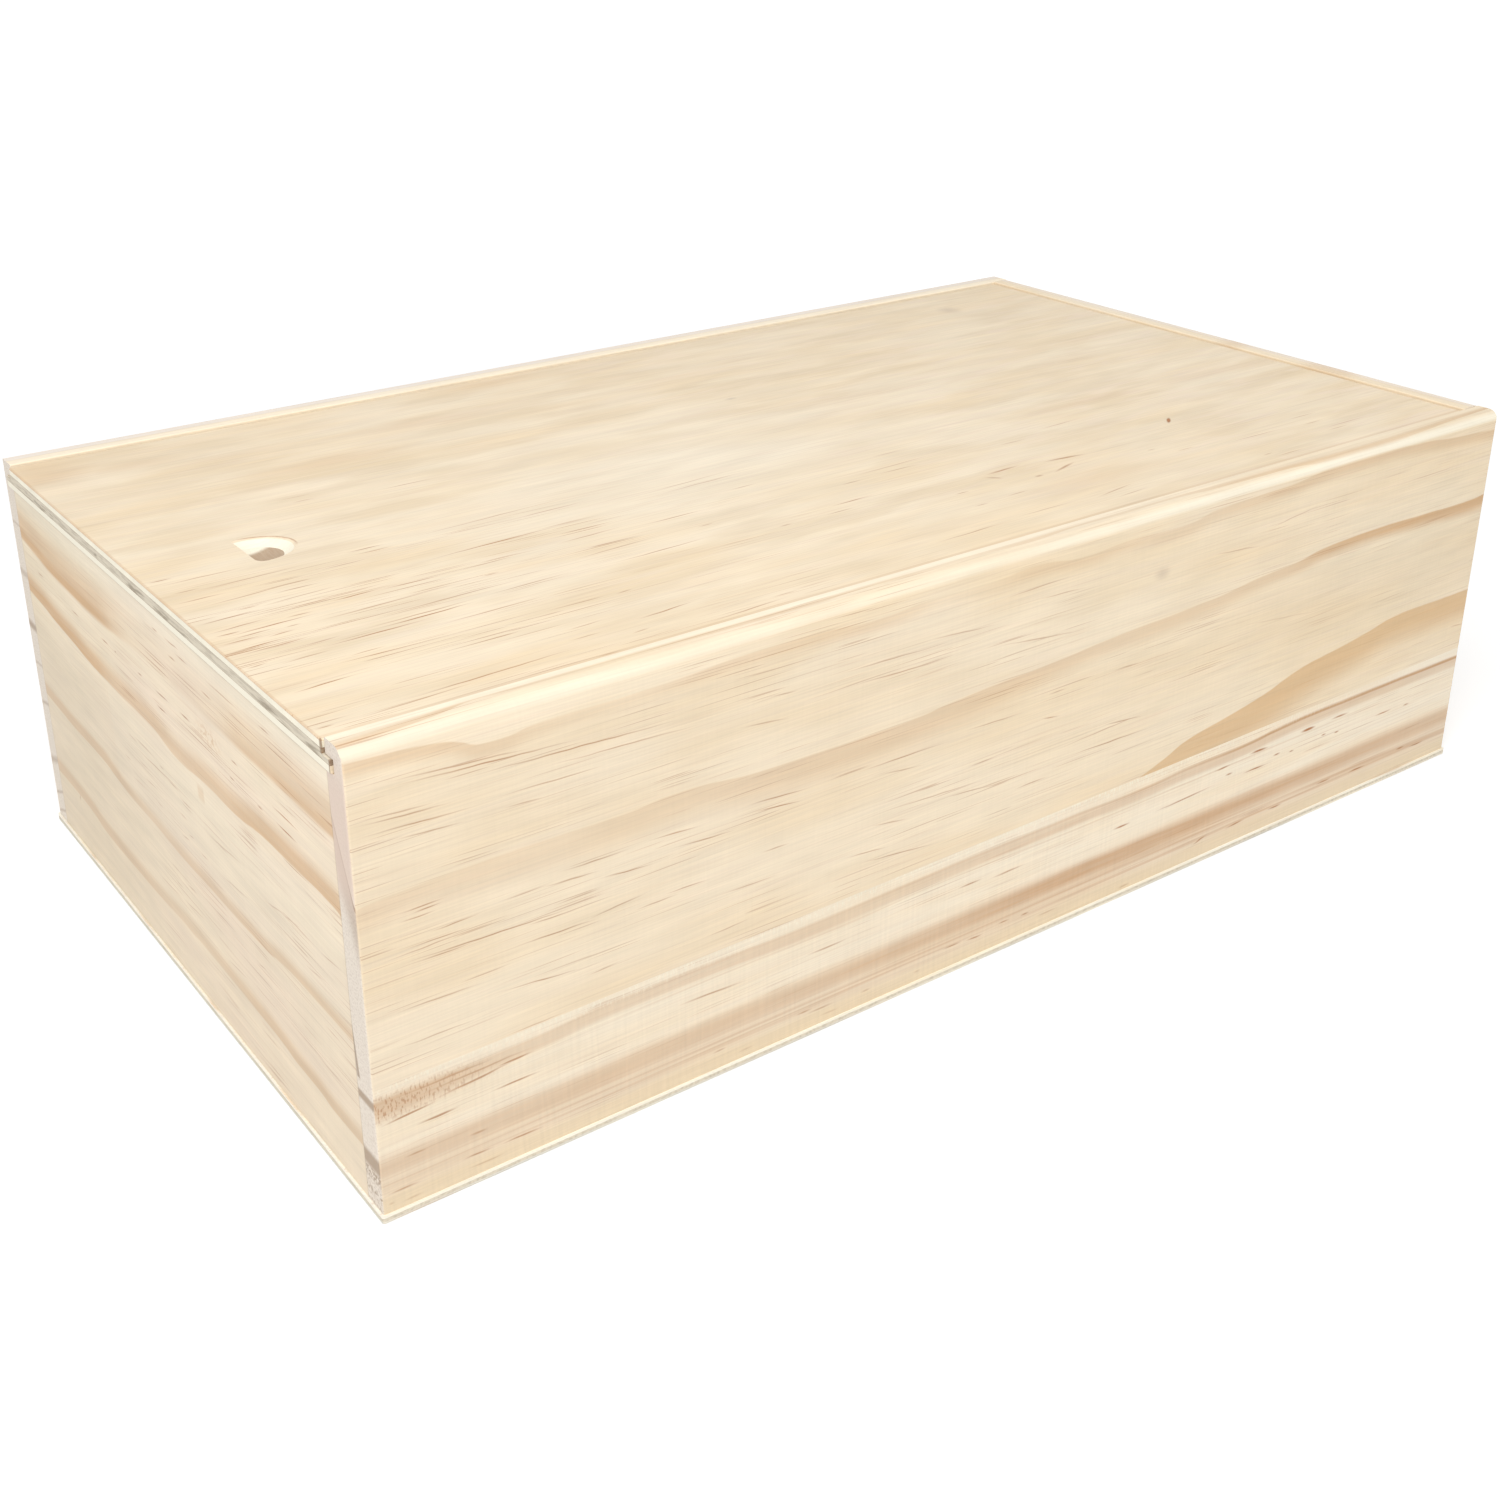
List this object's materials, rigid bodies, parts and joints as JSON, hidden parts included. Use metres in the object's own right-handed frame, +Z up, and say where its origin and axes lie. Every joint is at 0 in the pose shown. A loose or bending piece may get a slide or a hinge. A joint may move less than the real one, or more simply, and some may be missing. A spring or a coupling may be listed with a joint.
{
  "type": "sliding lid wooden box",
  "caption": "Low rectangular pine box with a stepped plywood lid that slides out in grooves over a low front end, with a scooped finger notch.",
  "frame": {"origin": "middle of the underside of the base", "axes": "+X along the length, away from the end that the lid opens at; +Z up; the right long side faces -Y"},
  "size_m": [0.361, 0.211, 0.11],
  "materials": {
    "pine_upper": "sanded, unfinished",
    "pine_lower": "sanded, unfinished",
    "pine_left": "sanded, unfinished",
    "pine_front": "sanded, unfinished",
    "pine_rear": "sanded, unfinished",
    "lid_veneer": "sanded, unfinished",
    "core_veneer": "raw sawn edge",
    "base_veneer": "raw",
    "brad_steel": "bright wire"
  },
  "bodies": {
    "box": {"right_side_upper_lath": "pine_upper", "right_side_lower_lath": "pine_lower", "left_side_board": "pine_left", "front_end_board": "pine_front", "rear_end_board": "pine_rear", "base_top_ply": "base_veneer", "base_core_ply": "core_veneer", "base_bottom_ply": "base_veneer", "base_brads": "brad_steel"},
    "lid": {"lid_face_ply": "lid_veneer", "lid_core_ply": "core_veneer", "lid_back_ply": "lid_veneer"}
  },
  "joints": [
    {"name": "lid_slide", "type": "slide", "parent": "box", "child": "lid", "axis": [-1, 0, 0], "range_m": [0, 0.36]}
  ]
}
